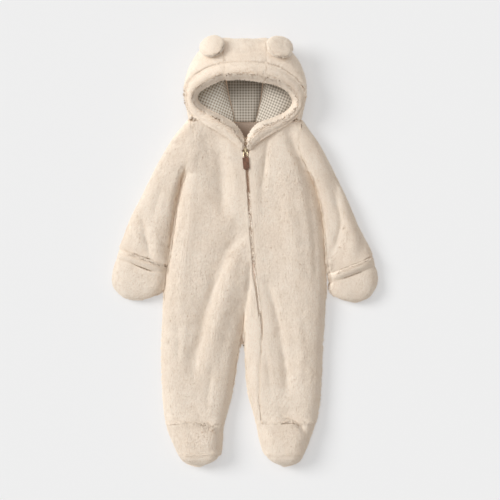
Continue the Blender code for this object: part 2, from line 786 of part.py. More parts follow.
def build_hood_side(name, table, side, turned):
    rows = []
    for row in hood_rows(table, NECK_ROW, 10):
        rows.append(over_the_edge(row, side * SIDE_SEAM_X))
    cloth(name, ((rows, turned),), FLEECE, "cream_fleece", *beside_centre(side, SIDE_SEAM_X))


def build_hood_centre():
    columns = []
    for t in steps(CENTRE_FREE, 1 - CENTRE_FREE, 4):
        row = between(HOOD_RIGHT[-1], HOOD_LEFT[-1], t)
        bow = CENTRE_BOW * math.sin(math.pi * t)
        x = row[5]
        row = (*row[:3], row[3] + bow, row[4], x, row[6] + bow / 2, NECK_SEAM_Y)
        columns.append([(x, y, z) for _, y, z in over_the_edge(row, x)])
    limits = ((-CENTRE_X, -math.inf, -math.inf), (CENTRE_X, math.inf, math.inf))
    cloth("hood_centre", ((columns, False),), FLEECE, "cream_fleece", *limits)


def lining_path(row, fold):
    """From under the band, out behind it, down and in to the fold line, bulging towards the opening."""
    opening, edge, height = row[:2], row[2:4], row[4]
    lower = between(opening, edge, LINING_FOOT)
    points = [(*between(opening, edge, LINING_LIP), height - BAND_DROP - LINING_DROP)]
    for out, down, rise in LINING_PATH:
        z = height + (LINING_FLOOR - height) * down + rise
        points.append((*between(opening, edge, out), z))
    points.append((*lower, LINING_FLOOR + LINING_RISE))
    for t in steps(0, 1, 5)[1:]:
        x, y = between(lower, fold, t)
        bulge = LINING_BULGE * math.sin(math.pi * t) * (1 - t / 2)
        points.append((x, y, LINING_FLOOR + LINING_RISE * (1 - t) + bulge))
    return points


def build_lining_side(name, table, fold_column, side, turned):
    rows = []
    for t in steps(0, 1, 10):
        row = smooth(table[NECK_ROW:], t)
        fold = smooth(LINING_FOLD[:4], t)
        rows.append(lining_path(row, (fold[fold_column] + side * SEAM_GAP, fold[2])))
    cloth(name, ((rows, turned),), LINING, "check_lining")


def build_lining_centre():
    rows = []
    for t in steps(0, 1, 4):
        column = []
        for right_x, left_x, y in LINING_FOLD:
            x = right_x + 1 + (left_x - right_x - 2) * t
            column.append((x, y, LINING_FLOOR - SEAM_GAP))
        column += [(x, y, LINING_FLOOR + rise) for y, rise in LINING_TOP]
        column.append((x, LINING_TOP_END_Y, HOOD_RIGHT[-1][4] - BAND_DROP - LINING_DROP))
        rows.append(column)
    cloth("lining_centre", ((rows, False),), LINING, "check_lining")


def build_neck_facing():
    rows = []
    for t in steps(0, 1, 4):
        half_width = FACING_WIDTH / 2 * (1 - FACING_TAPER * t)
        y = FACING_TOP_Y - FACING_DEPTH * t
        rows.append([(x, y, FLEECE + SEAM_GAP + LINING) for x in steps(-half_width, half_width, 4)])
    cloth("neck_facing", ((rows, False),), LINING, "taupe_facing")


def build_ear(name):
    x, y, z, across, along, turn = EARS[name]
    shape = bmesh.new()
    bmesh.ops.create_uvsphere(shape, u_segments=18, v_segments=9, radius=1)
    size = Matrix.Diagonal((across * MM, along * MM, EAR_HALF_THICKNESS * MM, 1))
    place = Matrix.Translation(Vector((x, y, z)) * MM)
    facing = Matrix.Rotation(math.radians(turn), 4, "Z") @ Matrix.Rotation(-EAR_TILT, 4, "X")
    shape.transform(place @ facing @ size)
    object_of(name, shape, "cream_fleece")


# Zip


def build_zip_tape(name, side):
    """A tape under the fleece's edge, made from the fleece's own points, moved in."""
    if side < 0:
        body, _, strips = front_right_rows()
        pairs = [(row[-1], row[-2]) for row in body + strips[1:]]
    else:
        pairs = [(row[0], row[1]) for row in front_left_rows()]
    rows = []
    for edge, beside in pairs:
        if edge[1] < ZIP_END_Y:
            break
        inner_edge = TAPE_TOP_GAP if edge[1] > TAPE_OPENS_Y else TAPE_GAP
        slope = abs(edge[2] - beside[2]) / math.dist(edge[:2], beside[:2])
        drop = FLEECE * math.hypot(1, slope) + TAPE_DROP
        x = at_y(ZIP_LINE, edge[1])[0] + side * inner_edge
        row = [(x, edge[1], edge[2] - drop)]
        for across in TAPE_ACROSS:
            share = across / math.dist(edge, beside)
            x, y, z = between(edge, beside, share)
            row.append((x, y, z - drop))
        rows.append(row)
    cloth(name, ((rows, side < 0),), TAPE, "zip_tape")


def box_into(shape, lowest, highest):
    made = bmesh.ops.create_cube(shape, size=1)["verts"]
    size = [high - low for low, high in zip(lowest, highest)]
    middle = [(high + low) / 2 for low, high in zip(lowest, highest)]
    bmesh.ops.transform(shape, matrix=Matrix.Diagonal((*size, 1)), verts=made)
    bmesh.ops.translate(shape, vec=Vector(middle), verts=made)
    return made


def cutter_of(name, place, radius, length):
    """A hidden rod along X that cuts a round eye."""
    shape = bmesh.new()
    bmesh.ops.create_cone(
        shape, cap_ends=True, segments=12, radius1=radius, radius2=radius, depth=length
    )
    shape.transform(Matrix.Translation(place) @ Matrix.Rotation(math.pi / 2, 4, "Y"))
    obj = object_of(name, shape, "brass")
    obj.hide_render = True
    obj.display_type = "WIRE"
    return obj


def boolean(obj, other, operation):
    cut = obj.modifiers.new(other.name, "BOOLEAN")
    cut.operation = operation
    cut.object = other


def slider_base():
    """Height of the zip tape's outer face at the slider."""
    return front_z(at_y(ZIP_LINE, SLIDER_Y)[0], SLIDER_Y, 99) - FLEECE - TAPE_DROP


def pivot_point():
    z = slider_base() + SLIDER_GAP + SLIDER_PLATE + BRIDGE_HEIGHT - PIVOT_DROP
    return Vector((at_y(ZIP_LINE, SLIDER_Y)[0], SLIDER_Y - PIVOT_BACK, z)) * MM


def build_slider():
    x = at_y(ZIP_LINE, SLIDER_Y)[0]
    half = SLIDER_WIDTH / 2
    low_y, high_y = SLIDER_Y - SLIDER_LENGTH / 2, SLIDER_Y + SLIDER_LENGTH / 2
    upper = slider_base() + SLIDER_GAP
    lower = slider_base() - TAPE - SLIDER_GAP
    top = upper + SLIDER_PLATE + BRIDGE_HEIGHT
    post, bridge = POST_HALF_WIDTH, BRIDGE_HALF_WIDTH
    blocks = (
        ((x - half, low_y, upper), (x + half, high_y, upper + SLIDER_PLATE)),
        ((x - half, low_y, lower - SLIDER_PLATE), (x + half, high_y, lower)),
        ((x - post, SLIDER_Y, lower - OVERLAP), (x + post, high_y - OVERLAP, upper + OVERLAP)),
        ((x - bridge, low_y + OVERLAP, upper + OVERLAP), (x + bridge, high_y - 1, top)),
    )
    parts = []
    for i, (lowest, highest) in enumerate(blocks):
        shape = bmesh.new()
        box_into(shape, [v * MM for v in lowest], [v * MM for v in highest])
        bmesh.ops.bevel(shape, geom=shape.edges, offset=BEVEL * MM, segments=1, affect="EDGES")
        part = object_of("zip_slider" if i == 0 else f"slider_block_{i}", shape, "brass")
        parts.append(part)
    for part in parts[1:]:
        part.hide_render = True
        part.display_type = "WIRE"
        boolean(parts[0], part, "UNION")
    eye = cutter_of("slider_eye", pivot_point(), (WIRE_RADIUS + EYE_PLAY) * MM, SLIDER_WIDTH * MM)
    boolean(parts[0], eye, "DIFFERENCE")


def build_pull():
    """The wire bail through the slider's bridge and the leather tab folded round its other end."""
    pivot = bpy.data.objects.new("pull_pivot", None)
    bpy.context.scene.collection.objects.link(pivot)
    pivot.location = pivot_point()
    half = BAIL_WIDTH / 2 * MM
    corner = BAIL_CORNER * MM
    reach = BAIL_LENGTH * MM
    shape = bmesh.new()
    path = []
    corners = ((half, 0, 0), (-half, 0, 90), (-half, -reach, 180), (half, -reach, 270))
    for corner_x, corner_y, first in corners:
        centre_x = corner_x - math.copysign(corner, corner_x)
        centre_y = corner_y - corner if corner_y == 0 else corner_y + corner
        for angle in steps(first, first + 90, 3):
            turn = math.radians(angle)
            round_x, round_y = corner * math.cos(turn), corner * math.sin(turn)
            path.append(Vector((centre_x + round_x, centre_y + round_y, 0)))
    rings = []
    for i, point in enumerate(path):
        along = (path[(i + 1) % len(path)] - path[i - 1]).normalized()
        out = along.cross(Vector((0, 0, 1)))
        section = []
        for k in range(WIRE_SIDES):
            turn = 2 * math.pi * k / WIRE_SIDES
            offset = out * math.cos(turn) + Vector((0, 0, math.sin(turn)))
            section.append(shape.verts.new(point + offset * WIRE_RADIUS * MM))
        rings.append(section)
    for i, section in enumerate(rings):
        after = rings[(i + 1) % len(rings)]
        for k in range(WIRE_SIDES):
            following = (k + 1) % WIRE_SIDES
            shape.faces.new((section[k], section[following], after[following], after[k]))
    bmesh.ops.recalc_face_normals(shape, faces=shape.faces)
    tilt = Matrix.Rotation(-PULL_SLOPE, 4, "X")
    shape.transform(tilt)
    bail = object_of("pull_bail", shape, "brass")
    bail.parent = pivot

    bar = tilt @ Vector((0, -reach, 0))
    tab_shape = bmesh.new()
    half_width = TAB_WIDTH / 2 * MM
    thick = TAB_THICKNESS / 2 * MM
    eye_wall = (TAB_EYE + TAB_EYE_WALL) * MM
    foot, head = -(TAB_LENGTH - TAB_CORNER) * MM, -TAB_EYE * MM
    box_into(tab_shape, (-half_width, foot, -thick), (half_width, head, thick))
    upright = [e for e in tab_shape.edges if abs(e.verts[0].co.z - e.verts[1].co.z) > thick]
    bottom = [e for e in upright if e.verts[0].co.y < -TAB_LENGTH / 2 * MM]
    bmesh.ops.bevel(tab_shape, geom=bottom, offset=TAB_CORNER * MM, segments=3, affect="EDGES")
    tab = object_of("pull_tab", tab_shape, "brown_leather")
    loop_shape = bmesh.new()
    bmesh.ops.create_cone(
        loop_shape, cap_ends=True, segments=16, radius1=eye_wall, radius2=eye_wall, depth=2 * half_width
    )
    loop_shape.transform(Matrix.Rotation(math.pi / 2, 4, "Y"))
    loop = object_of("tab_loop", loop_shape, "brown_leather")
    eye = cutter_of("tab_eye", Vector((0, 0, 0)), TAB_EYE * MM, 2 * TAB_WIDTH * MM)
    side_cut_shape = bmesh.new()
    for side in (-1, 1):
        low, high = sorted((side * (half_width + MM), side * TAB_NECK * MM))
        reach = SHOULDER_BOX * MM
        box_into(side_cut_shape, (low, SHOULDER_Y * MM, -reach), (high, reach, reach))
    side_cut = object_of("tab_shoulders", side_cut_shape, "brown_leather")
    for helper in (loop, side_cut):
        helper.hide_render = True
        helper.display_type = "WIRE"
    for helper in (loop, eye, side_cut):
        helper.parent = tab
    boolean(tab, loop, "UNION")
    boolean(tab, side_cut, "DIFFERENCE")
    boolean(tab, eye, "DIFFERENCE")
    tab.parent = pivot
    tab.location = bar
    tab.rotation_euler = (TAB_LIFT, 0, TAB_TURN)


def main():
    clear_scene()
    build_front_right()
    build_front_left()
    build_back()
    build_foot_upper("foot_upper_right", 0, 0)
    build_foot_upper("foot_upper_left", 1, 1)
    build_sole("sole_right", 0, 0)
    build_sole("sole_left", 1, 1)
    build_sleeve("sleeve_right", SLEEVE_RIGHT, ARMHOLE_RIGHT, False)
    build_sleeve("sleeve_left", SLEEVE_LEFT, ARMHOLE_LEFT, True)
    build_mitten("right", SLEEVE_RIGHT, MITTEN_RIGHT, False)
    build_mitten("left", SLEEVE_LEFT, MITTEN_LEFT, True)
    build_hood_side("hood_right", HOOD_RIGHT, -1, False)
    build_hood_side("hood_left", HOOD_LEFT, 1, True)
    build_hood_centre()
    build_band("hood_band_right", HOOD_RIGHT, -1, True)
    build_band("hood_band_left", HOOD_LEFT, 1, False)
    build_centre_band()
    build_lining_side("lining_right", HOOD_RIGHT, 0, -1, True)
    build_lining_side("lining_left", HOOD_LEFT, 1, 1, False)
    build_lining_centre()
    build_neck_facing()
    for name in EARS:
        build_ear(name)
    build_zip_tape("zip_tape_right", -1)
    build_zip_tape("zip_tape_left", 1)
    build_slider()
    build_pull()


main()
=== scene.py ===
import math

import bmesh
import bpy
import numpy as np
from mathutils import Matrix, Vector
from mathutils.bvhtree import BVHTree


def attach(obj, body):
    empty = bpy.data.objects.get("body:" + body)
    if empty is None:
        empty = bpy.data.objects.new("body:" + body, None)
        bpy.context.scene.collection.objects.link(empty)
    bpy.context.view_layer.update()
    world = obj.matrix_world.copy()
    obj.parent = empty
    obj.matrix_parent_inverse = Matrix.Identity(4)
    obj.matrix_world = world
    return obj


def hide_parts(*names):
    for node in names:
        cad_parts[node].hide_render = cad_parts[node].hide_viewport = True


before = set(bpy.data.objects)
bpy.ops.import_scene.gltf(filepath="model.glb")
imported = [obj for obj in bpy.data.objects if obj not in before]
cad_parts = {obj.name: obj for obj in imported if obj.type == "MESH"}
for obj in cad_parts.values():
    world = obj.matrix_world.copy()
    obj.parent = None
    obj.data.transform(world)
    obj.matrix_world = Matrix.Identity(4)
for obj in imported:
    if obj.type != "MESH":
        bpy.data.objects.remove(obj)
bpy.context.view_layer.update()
MM = 0.001

# Camera, floor and light

CAMERA_X = 0.0096
CAMERA_Y = 0.0018
CAMERA_HEIGHT = 5.0
VIEW_WIDTH = 0.875
VIEW_PLANE = 0.02
SENSOR = 36.0

camera_data = bpy.data.cameras.new("camera")
camera_data.sensor_width = SENSOR
camera_data.lens = SENSOR * (CAMERA_HEIGHT - VIEW_PLANE) / VIEW_WIDTH
camera_data.clip_end = 40
camera = bpy.data.objects.new("camera", camera_data)
camera.location = (CAMERA_X, CAMERA_Y, CAMERA_HEIGHT)
bpy.context.scene.collection.objects.link(camera)
bpy.context.scene.camera = camera


def paint(name, colour, roughness):
    """A node material, its shader and its tree."""
    material = bpy.data.materials.new(name)
    material.use_nodes = True
    tree = material.node_tree
    shader = tree.nodes["Principled BSDF"]
    shader.inputs["Base Color"].default_value = (*colour, 1)
    shader.inputs["Roughness"].default_value = roughness
    return material, shader, tree


def linear(red, green, blue):
    """The linear colour of an sRGB one, 0 to 255."""
    values = np.array((red, green, blue)) / 255
    return tuple(np.where(values <= 0.04045, values / 12.92, ((values + 0.055) / 1.055) ** 2.4))


# The paper gives off part of its brightness, so shadows on it are faint
FLOOR_SHADE = 0.52
FLOOR_GLOW = 0.372
FLOOR_HALF = 6
FLOOR_DROP = 0.0004
WORLD_LIGHT = 0.3

floor_mesh = bpy.data.meshes.new("floor")
floor_corners = [
    (x * FLOOR_HALF, y * FLOOR_HALF, 0) for x, y in ((-1, -1), (1, -1), (1, 1), (-1, 1))
]
floor_mesh.from_pydata(floor_corners, [], [(0, 1, 2, 3)])
floor = bpy.data.objects.new("floor", floor_mesh)
floor.location.z = -FLOOR_DROP
paper, paper_shader, _ = paint("floor_paper", (FLOOR_SHADE,) * 3, 0.9)
paper_shader.inputs["Emission Color"].default_value = (1, 1, 1, 1)
paper_shader.inputs["Emission Strength"].default_value = FLOOR_GLOW
floor_mesh.materials.append(paper)
bpy.context.scene.collection.objects.link(floor)

world = bpy.data.worlds.new("studio")
world.use_nodes = True
world.node_tree.nodes["Background"].inputs["Color"].default_value = (1, 1, 1, 1)
world.node_tree.nodes["Background"].inputs["Strength"].default_value = WORLD_LIGHT
bpy.context.scene.world = world
bpy.context.scene.view_settings.view_transform = "Standard"


def sun(name, towards, strength, softness):
    """A far light. towards is the way its light goes, softness its width in degrees."""
    data = bpy.data.lights.new(name, "SUN")
    data.energy = strength
    data.angle = math.radians(softness)
    light = bpy.data.objects.new(name, data)
    light.rotation_euler = Vector(towards).to_track_quat("-Z", "Y").to_euler()
    bpy.context.scene.collection.objects.link(light)


sun("key", (1.0, -0.38, -0.9), 2.12, 28)
sun("fill", (0.1, -0.2, -1.0), 0.6, 40)


# Smooth random fields

def field(points, size, seed):
    """Smooth noise from -1 to 1 at each point, with lumps about that size in metres."""
    cell = np.asarray(points, float) / size
    base = np.floor(cell).astype(np.int64)
    part = cell - base
    part = part * part * (3 - 2 * part)
    total = np.zeros(len(cell))
    for corner in range(8):
        step = np.array([corner & 1, corner >> 1 & 1, corner >> 2 & 1])
        at = (base + step).astype(np.uint64)
        key = at[:, 0] * np.uint64(73856093) ^ at[:, 1] * np.uint64(19349663)
        key ^= at[:, 2] * np.uint64(83492791)
        key = (key + np.uint64(seed * 7919 + 13)) * np.uint64(0x9E3779B97F4A7C15)
        key ^= key >> np.uint64(29)
        key = key * np.uint64(0xBF58476D1CE4E5B9)
        value = (key >> np.uint64(40)).astype(float) / 2**23 - 1
        total += value * np.where(step, part, 1 - part).prod(axis=1)
    return total


# Shapes taken from the frame's solids

def points_of(mesh):
    found = np.empty(len(mesh.vertices) * 3, np.float32)
    mesh.vertices.foreach_get("co", found)
    return found.reshape(-1, 3).astype(float)


def normals_of(mesh):
    found = np.empty(len(mesh.vertices) * 3, np.float32)
    mesh.vertex_normals.foreach_get("vector", found)
    return found.reshape(-1, 3).astype(float)


def welded(node):
    """The solid's surface as quads with its own points joined."""
    shape = bmesh.new()
    shape.from_mesh(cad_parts[node].data)
    bmesh.ops.remove_doubles(shape, verts=shape.verts, dist=0.00002)
    wide = math.radians(70)
    bmesh.ops.join_triangles(
        shape, faces=shape.faces, angle_face_threshold=wide, angle_shape_threshold=wide
    )
    return shape


def surface_of(names):
    """The solids named as one surface."""
    points = []
    faces = []
    for name in names:
        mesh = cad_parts[name].data
        start = len(points)
        points += [v.co.copy() for v in mesh.vertices]
        faces += [[start + i for i in face.vertices] for face in mesh.polygons]
    return BVHTree.FromPolygons(points, faces)


SIGHT = surface_of(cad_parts)
LINED = surface_of(("lining_right", "lining_left", "lining_centre", "neck_facing"))
LINED_WITHIN = 0.006
RAY_START = 0.0026
GOLDEN_ANGLE = 2.39996
RAYS = 20
LOOKS = [
    Vector((
        math.sqrt(1 - (1 - (2 * i + 1) / RAYS) ** 2) * math.cos(GOLDEN_ANGLE * i),
        math.sqrt(1 - (1 - (2 * i + 1) / RAYS) ** 2) * math.sin(GOLDEN_ANGLE * i),
        1 - (2 * i + 1) / RAYS,
    ))
    for i in range(RAYS)
]


def openness(place, normal):
    """Share of the directions in front of a face that nothing blocks."""
    if LINED.ray_cast(place, normal, LINED_WITHIN)[0] is not None:
        return 0.0
    start = place + normal * RAY_START
    ahead = [look for look in LOOKS if look.dot(normal) > 0.05]
    free = sum(SIGHT.ray_cast(start, look, 0.9)[0] is None for look in ahead)
    return free / max(1, len(ahead))


def shell(name, node, levels, sharp=50):
    """A smooth piece on the solid's form, which keeps how open each point is and which lie on a rim."""
    shape = welded(node)
    shape.normal_update()
    creases = shape.edges.layers.float.new("crease_edge")
    rims = shape.verts.layers.float.new("rim")
    for edge in shape.edges:
        if len(edge.link_faces) == 2 and edge.calc_face_angle(0) > math.radians(sharp):
            edge[creases] = 1.0
            edge.seam = True
            for vertex in edge.verts:
                vertex[rims] = 1.0
    air = shape.verts.layers.float.new("air")
    for face in shape.faces:
        free = openness(face.calc_center_median(), face.normal)
        for vertex in face.verts:
            vertex[air] = max(vertex[air], free)
    spread = {
        vertex: sum(edge.other_vert(vertex)[air] for edge in vertex.link_edges) / len(vertex.link_edges)
        for vertex in shape.verts
    }
    for vertex, mean in spread.items():
        if vertex[air] > 0.02:
            vertex[air] = max(vertex[air], mean)
    mesh = bpy.data.meshes.new(name + "_low")
    shape.to_mesh(mesh)
    shape.free()
    low = bpy.data.objects.new(name + "_low", mesh)
    bpy.context.scene.collection.objects.link(low)
    smooth = low.modifiers.new("smooth", "SUBSURF")
    smooth.levels = levels
    smooth.render_levels = levels
    fine = bpy.data.meshes.new_from_object(low.evaluated_get(bpy.context.evaluated_depsgraph_get()))
    fine.name = name
    bpy.data.objects.remove(low)
    obj = bpy.data.objects.new(name, fine)
    bpy.context.scene.collection.objects.link(obj)
    fine.shade_smooth()
    return obj


# Creases in millimetres: three points of a curved line, half width, depth (a ridge is negative)

CREASES = (
    (-44, 198, -35, 140, -33, 72, 20, 7.6),
    (-92, 180, -94, 120, -92, 50, 16, -2.5),
    (-2, 30, -20, 8, -38, -26, 19, 5),
    (-38, -26, -55, -70, -68, -118, 21, 8.4),
    (-68, -118, -79, -160, -90, -212, 20, 6.7),
    (-12, -20, -22, -54, -36, -96, 25, -3.8),
    (-36, -96, -50, -140, -64, -196, 24, -5),
    (12, -24, 6, -76, 0, -118, 11, 6.4),
    (-1, -108, -3, -130, -4, -152, 6, 6),
    (-100, 10, -112, -60, -118, -120, 18, -2.5),
    (41, 196, 35, 150, 32, 112, 10, 4.2),
    (18, 150, 20, 90, 16, 30, 12, -2),
    (78, 205, 98, 160, 115, 112, 15, 4.5),
    (112, 100, 122, 30, 124, -60, 12, 3.4),
    (62, 150, 80, 60, 92, -40, 20, -2.5),
    (41, -56, 52, -90, 62, -138, 12, 4.8),
    (62, -138, 71, -191, 76, -243, 13, 4.5),
    (92, -120, 100, -170, 96, -230, 12, -2.2),
    (34, -150, 40, -200, 48, -250, 8, 1.6),
    (-108, 150, -112, 100, -118, 40, 9, 2.2),
    (-96, 90, -98, 30, -112, -40, 14, -2.2),
    (-120, -60, -118, -130, -112, -200, 10, 2),
    (-100, -110, -106, -160, -112, -210, 9, -1.2),
    (-56, -200, -62, -240, -66, -276, 9, 2.1),
    (-180, 68, -171, 24, -164, -10, 10, 4.6),
    (-157, 46, -152, 18, -149, -6, 10, -2.4),
    (-204, 10, -198, 6, -190, 4, 7, 2.2),
    (-142, 120, -152, 84, -160, 56, 9, 2.2),
    (-120, 130, -128, 96, -132, 60, 8, -1.4),
    (152, 124, 165, 74, 170, 44, 11, 3.4),
    (170, 50, 162, 17, 150, -6, 12, 4.4),
    (192, 50, 194, 20, 188, -8, 13, -2.6),
    (134, 190, 164, 104, 196, 36, 8, 2.2),
    (196, 60, 204, 24, 206, 0, 7, 1.6),
    (-80, -299, -63, -301, -50, -309, 7, 3.4),
    (-50, -309, -44, -318, -40, -331, 6, 3),
    (66, -286, 82, -294, 96, -304, 8, 3.6),
    (96, -304, 103, -316, 110, -334, 6, 3),
    (-35, 352, -34.5, 325, -35, 299, 4, 1.6),
    (35, 352, 35.5, 322, 36, 290, 4, 1.6),
    (-35, 313, -34.5, 304, -34, 296, 3, 3.2),
    (35.5, 306, 35.5, 298, 36, 288, 3, 3.2),
    (-34, 326, 0, 328, 33, 326, 6, 1.2),
    (-118, -346, -106, -352, -92, -354, 4, 1.8),
    (32, -341, 42, -350, 54, -354, 4, 1.8),
)
# Underneath: the same for the cloth that lies on the surface
UNDER_CREASES = (
    (-80, 120, -30, 96, 40, 104, 12, 2.2),
    (-100, 20, -50, 4, 10, 16, 14, 2.6),
    (40, 30, 80, -10, 96, -60, 11, 2.2),
    (-90, -90, -60, -130, -66, -190, 12, 2.4),
    (60, -110, 84, -160, 76, -230, 12, 2.4),
    (-170, 80, -160, 40, -176, 6, 9, 2.0),
    (160, 90, 172, 40, 186, 10, 9, 2.0),
    (-30, 190, -10, 150, -26, 96, 10, 1.8),
)


def to_segment(points, ax, ay, bx, by):
    """Distance of each point from a stretch, in the plane of the surface."""
    way = np.array([bx - ax, by - ay])
    start = points - np.array([ax, ay])
    along = np.clip((start @ way) / (way @ way), 0, 1)
    return np.linalg.norm(start - along[:, None] * way, axis=1), along


def crease_depth(points, table):
    """How deep the creases are at points in metres, in metres."""
    flat = points[:, :2] / MM
    depth = np.zeros(len(flat))
    for ax, ay, bx, by, cx, cy, half_width, deep in table:
        first, along_first = to_segment(flat, ax, ay, bx, by)
        second, along_second = to_segment(flat, bx, by, cx, cy)
        near = np.minimum(first, second)
        along = np.where(first < second, along_first, 1 + along_second) / 2
        wander = 1 + 0.2 * field(points * (1, 1, 0), 0.03, 5)
        reach = half_width * wander
        inside = np.clip(near / reach, 0, 1)
        depth += deep * (0.4 + 0.6 * np.sin(np.pi * along)) * np.cos(np.pi * inside / 2) ** 2
    return depth * MM


def at_zip(points):
    """How near points are to the open part of the zip: 1 on it and 0 from ZIP_NEAR away."""
    beside = np.abs(points[:, 0] - np.interp(points[:, 1], ZIP_Y, ZIP_X)) / ZIP_NEAR
    below = (ZIP_Y[0] - points[:, 1]) / ZIP_NEAR
    above = (points[:, 1] - ZIP_Y[-1]) / ZIP_NEAR
    closing = np.clip((points[:, 1] - ZIP_Y[0]) / ZIP_CLOSING, 0, 1)
    return np.clip(1 - np.maximum(np.maximum(beside, below), above), 0, 1) * closing


def shut_from(points):
    """The most that at_zip may be where edges still meet: some at the zip's low end, else nothing."""
    return np.where(points[:, 1] < ZIP_Y[0] + ZIP_CLOSING * ZIP_SHUT, ZIP_SHUT, 0.0)


def meet(points, rim, neighbours):
    """Draws a piece's edges about half way to the next piece, so that seams stand less open."""
    for index in np.nonzero((rim > 0.25) & (at_zip(points) <= shut_from(points)))[0]:
        reach = ANKLE_OPEN if points[index][1] < ANKLE_Y else SEAM_OPEN
        found = neighbours.find_nearest(Vector(points[index]), reach)
        if found[0] is not None:
            points[index] += (np.array(found[0]) - points[index]) * 0.55 * min(1, rim[index] * 1.5)


def soften(obj, inset, lumps=0.0003, neighbours=None):
    """Draws the fleece's backing in from the pile's ends, and gives it creases and lumps."""
    mesh = obj.data
    points = points_of(mesh)
    normals = normals_of(mesh)
    high = np.clip((points[:, 2] - 0.008) / 0.012, 0, 1)
    low = np.clip((0.006 - points[:, 2]) / 0.005, 0, 1)
    points[:, 2] -= crease_depth(points, CREASES) * high
    points[:, 2] += crease_depth(points, UNDER_CREASES) * low
    rim = point_values(mesh, "rim")
    points -= normals * (inset * (1 - rim))[:, None]
    points[:, 2] -= inset * rim * np.clip(normals[:, 2] * 2, -1, 1)
    lump = field(points, 0.011, 1) + 0.6 * field(points, 0.0055, 2)
    points += normals * (lumps * lump)[:, None] * np.clip(points[:, 2:] / 0.006, 0.25, 1)
    if neighbours:
        meet(points, rim, neighbours)
    if "front" in obj.name:
        points[:, 0] += ZIP_OPEN * at_zip(points) * (1 if "left" in obj.name else -1)
    points[:, 2] = np.maximum(points[:, 2], 0.0005)
    mesh.vertices.foreach_set("co", points.astype(np.float32).ravel())
    mesh.update()


# Pile

UNDER_SHARE = 0.22  # of the strands that the same cloth has where it shows
LEAST_SEEN = 0.03
MOST_STRANDS = 92000  # on one piece
ZIP_NEAR = 0.007
ZIP_CLOSING = 0.14  # length of the low end along which the parting narrows to nothing
ZIP_SHUT = 0.6
ZIP_OPEN = 0.0004
SEAM_REACH = 0.006
SEAM_LEAN = 1.0
SEAM_OPEN = 0.0034
ANKLE_OPEN = 0.0052
ANKLE_Y = -0.27
GROOVE = 0.03
HEM_REACH = 0.009
# How far strands lean: together in tufts, in finer tufts, and each by itself
TUFT_LEAN = 0.17
FINE_LEAN = 0.12
LOOSE_LEAN = 0.12
TWIST = 0.18
MIDDLE_RISE = 0.68
TIP_RISE = 0.16
STRAND_LOOPS = [0, 1, 2, 2, 1, 3]


def to_neighbours(root, rim_of, neighbours):
    """Near a seam the pile leans over it, so this gives the way to the next piece there."""
    way = np.zeros_like(root)
    for index in np.nonzero((rim_of > 0.02) & (at_zip(root) <= shut_from(root)))[0]:
        found = neighbours.find_nearest(Vector(root[index]), SEAM_REACH)
        if found[0] is not None:
            to = np.array(found[0]) - root[index]
            way[index] = to / max(found[3], 0.0006) * (1 - found[3] / SEAM_REACH)
    return way * SEAM_LEAN


def facing_cloth(root, normal, side):
    """1 where a steep side looks at other cloth close by, as under an arm, and 0 elsewhere."""
    found = np.zeros(len(root))
    for index in np.nonzero((side > 0.3) & (root[:, 2] > 0.006))[0]:
        ahead = Vector(normal[index])
        start = Vector(root[index]) + ahead * RAY_START
        place, met, *_ = SIGHT.ray_cast(start, ahead, GROOVE)
        found[index] = place is not None and met.dot(ahead) < -0.1
    return found


def beside_hem(points):
    """1 next to a mitten's rolled hem and 0 from HEM_REACH away."""
    found = [HEMS.find_nearest(Vector(point), HEM_REACH)[3] for point in points]
    return np.array([0.0 if gap is None else 1 - gap / HEM_REACH for gap in found])


def others(name, apart=()):
    """The fleece solids that a piece's pile may lean to."""
    every = (*FLEECE_SHEETS, "ear_right", "ear_left")
    return surface_of([other for other in every if other != name and other not in apart])


def zip_line():
    """y, x and top of the tapes' meeting line, from the points where the two tapes nearly touch."""
    right = points_of(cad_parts["zip_tape_right"].data)
    left = points_of(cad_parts["zip_tape_left"].data)
    apart = np.linalg.norm(right[:, None, :] - left[None, :, :], axis=2)
    met, partner = np.nonzero(apart < 0.0012)
    middle = (right[met] + left[partner]) / 2
    rows = np.round(middle[:, 1] / 0.003)
    line = []
    for row in np.unique(rows):
        group = middle[rows == row]
        line.append((group[:, 1].mean(), group[:, 0].mean(), group[:, 2].max()))
    return tuple(np.array(line).T)


ZIP_Y, ZIP_X, ZIP_Z = zip_line()
HEMS = surface_of(("mitten_hem_right", "mitten_hem_left"))


def point_values(mesh, name):
    values = np.empty(len(mesh.vertices), np.float32)
    mesh.attributes[name].data.foreach_get("value", values)
    return values.astype(float)


def unit(vectors):
    return vectors / np.maximum(np.linalg.norm(vectors, axis=1, keepdims=True), 1e-9)


